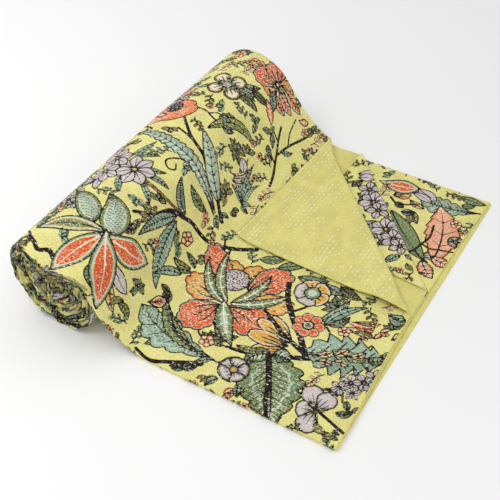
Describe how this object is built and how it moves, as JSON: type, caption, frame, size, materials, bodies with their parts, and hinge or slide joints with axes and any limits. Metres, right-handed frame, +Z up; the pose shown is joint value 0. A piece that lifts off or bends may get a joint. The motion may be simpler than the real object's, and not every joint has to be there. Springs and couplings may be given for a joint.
{
  "type": "kantha quilt",
  "caption": "Hand-stitched cotton quilt with a floral front and a plain back, folded in four and rolled up, its loose end on the floor with two corners turned back",
  "frame": {"origin": "middle of the box's underside, on the surface that the quilt rests on", "axes": "+X along the quilt's length, from the roll to the end hem; +Y across it, from the folds to the free long hems; +Z up"},
  "size_m": [0.5342, 0.598, 0.1506],
  "materials": {
    "printed_cotton": "matte",
    "plain_cotton": "matte",
    "stitching": "matte"
  },
  "bodies": {
    "root": {"quilt": "printed_cotton"}
  },
  "joints": []
}
